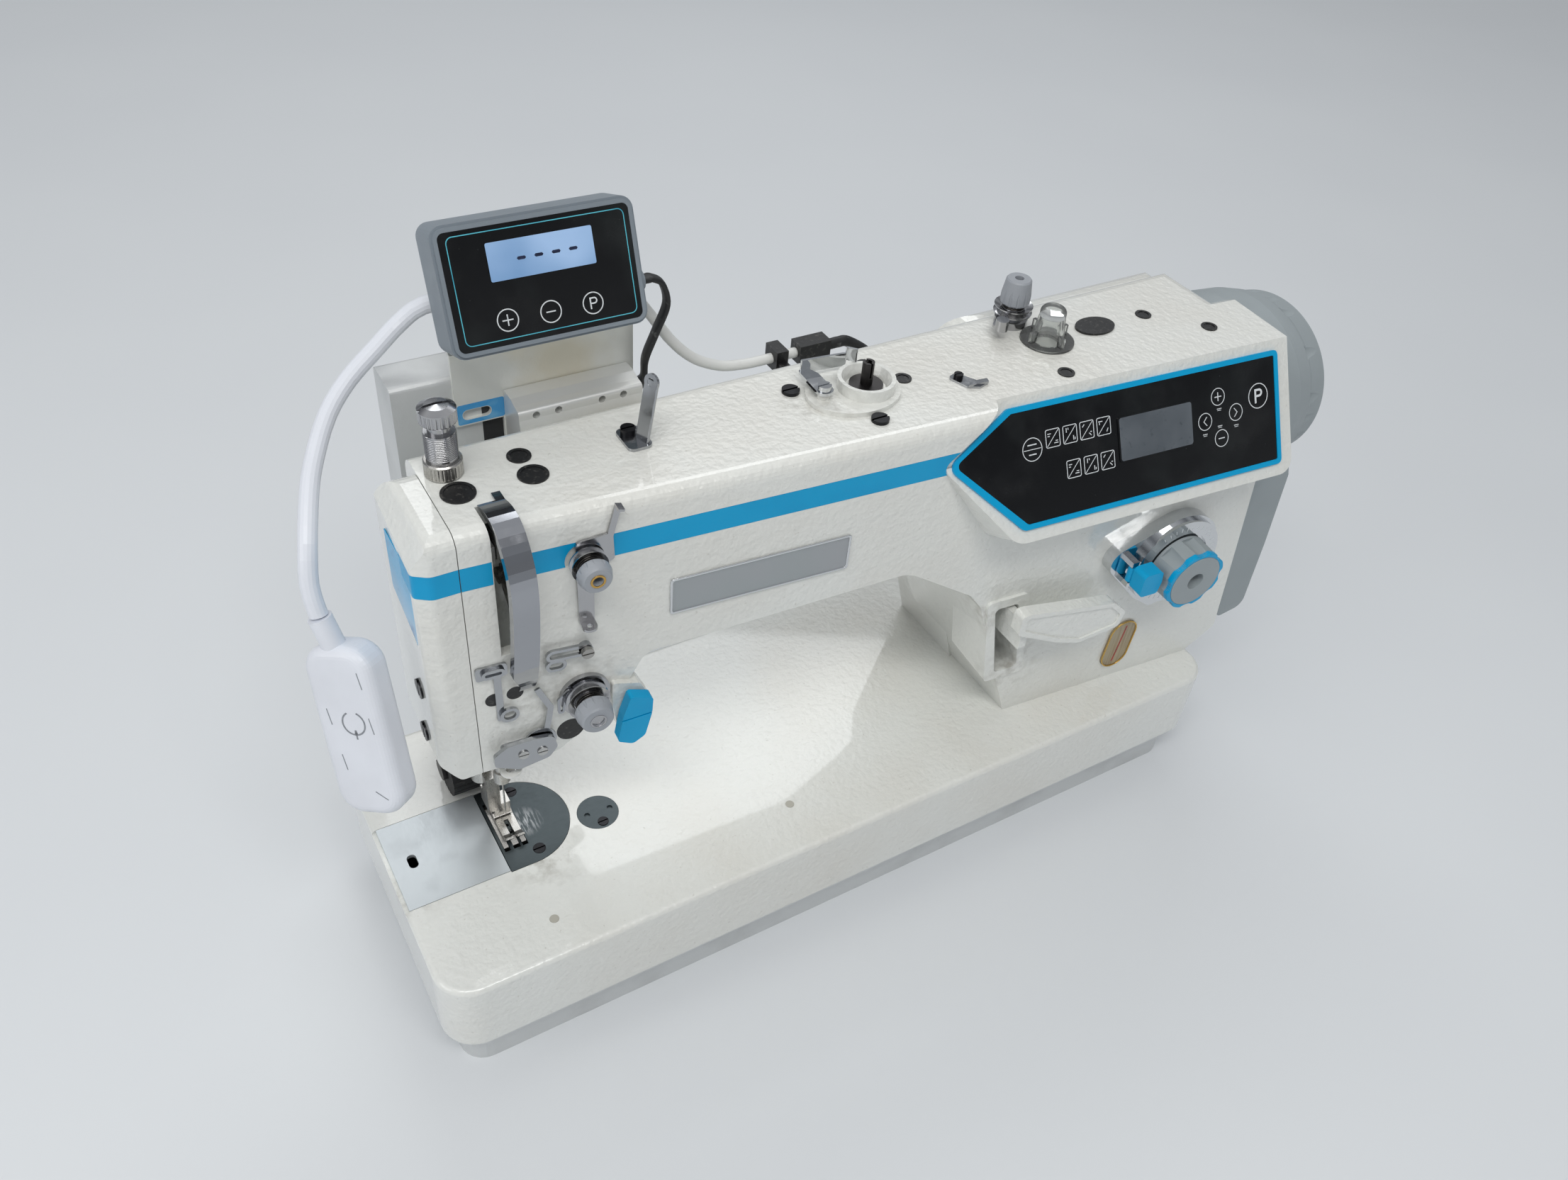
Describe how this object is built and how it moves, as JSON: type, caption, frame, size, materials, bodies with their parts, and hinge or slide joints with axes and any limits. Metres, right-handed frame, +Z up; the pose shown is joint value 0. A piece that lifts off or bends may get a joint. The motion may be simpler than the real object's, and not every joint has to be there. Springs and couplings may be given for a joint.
{
  "type": "industrial lockstitch sewing machine head",
  "caption": "Industrial lockstitch sewing machine head with flat bed, leaning control panel, stitch dial, fabric puller, display box and gooseneck work lamp.",
  "frame": {"origin": "on the flat base face, straight below the needle", "axes": "+Z up, +X along the arm to the handwheel, +Y away from the operator"},
  "size_m": [0.5922, 0.1944, 0.398],
  "materials": {
    "casting_paint": "gloss orange-peel enamel",
    "blue_trim": "gloss",
    "blue_plastic": "satin",
    "grey_plastic": "satin",
    "black_rubber": "satin",
    "black_glass": "gloss",
    "chrome_plate": "polished",
    "steel_plate": "brushed",
    "dark_steel": "oiled",
    "clear_dome": "clear",
    "amber_window": "clear",
    "galvanised": "galvanised",
    "alloy": "blasted",
    "black_paint": "satin",
    "white_plastic": "satin",
    "white_sheath": "satin",
    "black_sheath": "satin",
    "belt_rubber": "ribbed",
    "roller_rubber": "knurled"
  },
  "bodies": {
    "machine": {"bed": "casting_paint", "bottom_cover": "alloy", "arm_casting": "casting_paint", "trim_stripe": "blue_trim", "face_plate": "casting_paint", "slotted_screws": "dark_steel", "throat_plate": "steel_plate", "bed_disc": "steel_plate", "rubber_plugs": "black_rubber", "oil_sight_dome": "clear_dome", "oil_gauge_window": "amber_window", "take_up_guard": "chrome_plate", "bobbin_case": "steel_plate", "timing_belt": "belt_rubber", "end_cover": "grey_plastic", "panel_bezel": "blue_trim", "panel_glass": "black_glass", "thread_guides": "chrome_plate", "tension_discs": "chrome_plate", "winder_plate": "casting_paint", "dial_escutcheon": "chrome_plate", "display_box": "grey_plastic", "display_glass": "black_glass", "bracket_plate": "galvanised", "mount_block": "alloy", "puller_housing": "alloy", "puller_motor": "black_paint", "lamp_base": "white_plastic", "lamp_neck": "white_sheath", "lamp_head": "white_plastic", "lamp_cable": "white_sheath", "puller_cable": "black_sheath", "supply_lead": "black_sheath", "cable_strap": "grey_plastic"},
    "drive": {"handwheel": "grey_plastic", "main_shaft": "steel_plate"},
    "hook": {"hook_shaft": "steel_plate", "rotary_hook": "steel_plate"},
    "bobbin": {"bobbin": "steel_plate"},
    "needle_bar": {"needle_bar": "steel_plate"},
    "take_up": {"take_up_lever": "steel_plate"},
    "presser": {"presser_bar": "steel_plate", "presser_foot": "steel_plate"},
    "feed": {"feed_dog": "steel_plate"},
    "slide_plate": {"slide_plate": "steel_plate"},
    "presser_screw": {"presser_screw": "chrome_plate"},
    "lock_nut": {"lock_nut": "steel_plate"},
    "front_knob": {"front_tension_knob": "grey_plastic"},
    "main_knob": {"main_tension_knob": "grey_plastic"},
    "top_knob": {"top_tension_knob": "grey_plastic"},
    "check_spring": {"check_spring": "chrome_plate"},
    "spindle": {"winder_spindle": "dark_steel"},
    "winder_lever": {"winder_lever": "chrome_plate"},
    "dial": {"stitch_dial": "grey_plastic"},
    "dial_lock": {"dial_lock": "blue_plastic"},
    "reverse_lever": {"reverse_lever": "casting_paint"},
    "switch": {"switch_button": "blue_plastic"},
    "hand_lifter": {"hand_lifter": "steel_plate"},
    "puller_arm": {"puller_slide": "dark_steel"},
    "puller_wheel": {"puller_roller": "roller_rubber"}
  },
  "joints": [
    {"name": "handwheel_turn", "type": "hinge", "parent": "machine", "child": "drive", "pos_m": [0, -0.002, 0.243], "axis": [1, 0, 0], "continuous": true},
    {"name": "hook_turn", "type": "hinge", "parent": "machine", "child": "hook", "pos_m": [0, 0, 0.048], "axis": [1, 0, 0], "continuous": true},
    {"name": "bobbin_turn", "type": "hinge", "parent": "machine", "child": "bobbin", "pos_m": [0, 0, 0.048], "axis": [1, 0, 0], "continuous": true},
    {"name": "needle_stroke", "type": "slide", "parent": "machine", "child": "needle_bar", "axis": [0, 0, -1], "range_m": [0, 0.0307]},
    {"name": "take_up_swing", "type": "hinge", "parent": "machine", "child": "take_up", "pos_m": [0.005, 0.018, 0.264], "axis": [1, 0, 0], "range_deg": [0, 52]},
    {"name": "presser_lift", "type": "slide", "parent": "machine", "child": "presser", "axis": [0, 0, 1], "range_m": [0, 0.0055]},
    {"name": "feed_travel", "type": "slide", "parent": "machine", "child": "feed", "axis": [0, 1, 0], "range_m": [-0.0025, 0.0025]},
    {"name": "slide_plate_travel", "type": "slide", "parent": "machine", "child": "slide_plate", "axis": [-1, 0, 0], "range_m": [0, 0.04]},
    {"name": "presser_screw_turn", "type": "hinge", "parent": "machine", "child": "presser_screw", "pos_m": [-0.006, 0.0165, 0.31], "axis": [0, 0, 1], "range_deg": [-360, 360]},
    {"name": "lock_nut_turn", "type": "hinge", "parent": "machine", "child": "lock_nut", "pos_m": [-0.006, 0.0165, 0.31], "axis": [0, 0, 1], "range_deg": [-360, 360]},
    {"name": "front_tension_turn", "type": "hinge", "parent": "machine", "child": "front_knob", "pos_m": [0.0375, -0.03295, 0.2814], "axis": [-0.0785, -0.9969, 0], "range_deg": [-360, 360]},
    {"name": "main_tension_turn", "type": "hinge", "parent": "machine", "child": "main_knob", "pos_m": [0.0345, -0.03272, 0.1984], "axis": [-0.0785, -0.9969, 0], "range_deg": [-360, 360]},
    {"name": "top_tension_turn", "type": "hinge", "parent": "machine", "child": "top_knob", "pos_m": [0.311, 0.022, 0.32], "axis": [0, 0, 1], "range_deg": [-360, 360]},
    {"name": "check_spring_swing", "type": "hinge", "parent": "machine", "child": "check_spring", "pos_m": [0.0345, -0.03272, 0.1984], "axis": [-0.0785, -0.9969, 0], "range_deg": [0, 28], "stiffness_Nm_per_rad": 0.01, "springref_deg": -11.46},
    {"name": "winder_spin", "type": "hinge", "parent": "machine", "child": "spindle", "pos_m": [0.1997, -0.0036, 0.31], "axis": [0, 0, 1], "continuous": true},
    {"name": "winder_lever_swing", "type": "hinge", "parent": "machine", "child": "winder_lever", "pos_m": [0.1756, -0.0032, 0.314], "axis": [0, 0, 1], "range_deg": [-5, 25]},
    {"name": "stitch_dial_turn", "type": "hinge", "parent": "machine", "child": "dial", "pos_m": [0.395, -0.06109, 0.1795], "axis": [-0.0785, -0.9969, 0], "range_deg": [-150, 150]},
    {"name": "dial_lock_press", "type": "hinge", "parent": "machine", "child": "dial_lock", "pos_m": [0.35958, -0.07034, 0.1825], "axis": [0, 0, 1], "range_deg": [0, 8], "stiffness_Nm_per_rad": 0.2, "springref_deg": -2.86},
    {"name": "reverse_lever_press", "type": "hinge", "parent": "machine", "child": "reverse_lever", "pos_m": [0.288, 0.015, 0.158], "axis": [1, 0, 0], "range_deg": [0, 18], "stiffness_Nm_per_rad": 0.8, "springref_deg": -14.32},
    {"name": "switch_press", "type": "slide", "parent": "machine", "child": "switch", "axis": [0.0785, 0.9969, 0], "range_m": [0, 0.0012], "stiffness_N_per_m": 400, "springref_m": -0.0005},
    {"name": "hand_lifter_swing", "type": "hinge", "parent": "machine", "child": "hand_lifter", "pos_m": [0.03, 0.038, 0.196], "axis": [0, 1, 0], "range_deg": [-70, 0]},
    {"name": "puller_lift", "type": "slide", "parent": "machine", "child": "puller_arm", "axis": [0, 0, 1], "range_m": [0, 0.015]},
    {"name": "puller_spin", "type": "hinge", "parent": "puller_arm", "child": "puller_wheel", "pos_m": [-0.008, 0.039, 0.095], "axis": [1, 0, 0], "continuous": true}
  ],
  "couplings": [
    {"joint": "hook_turn", "follows": "handwheel_turn", "ratio": 2}
  ]
}
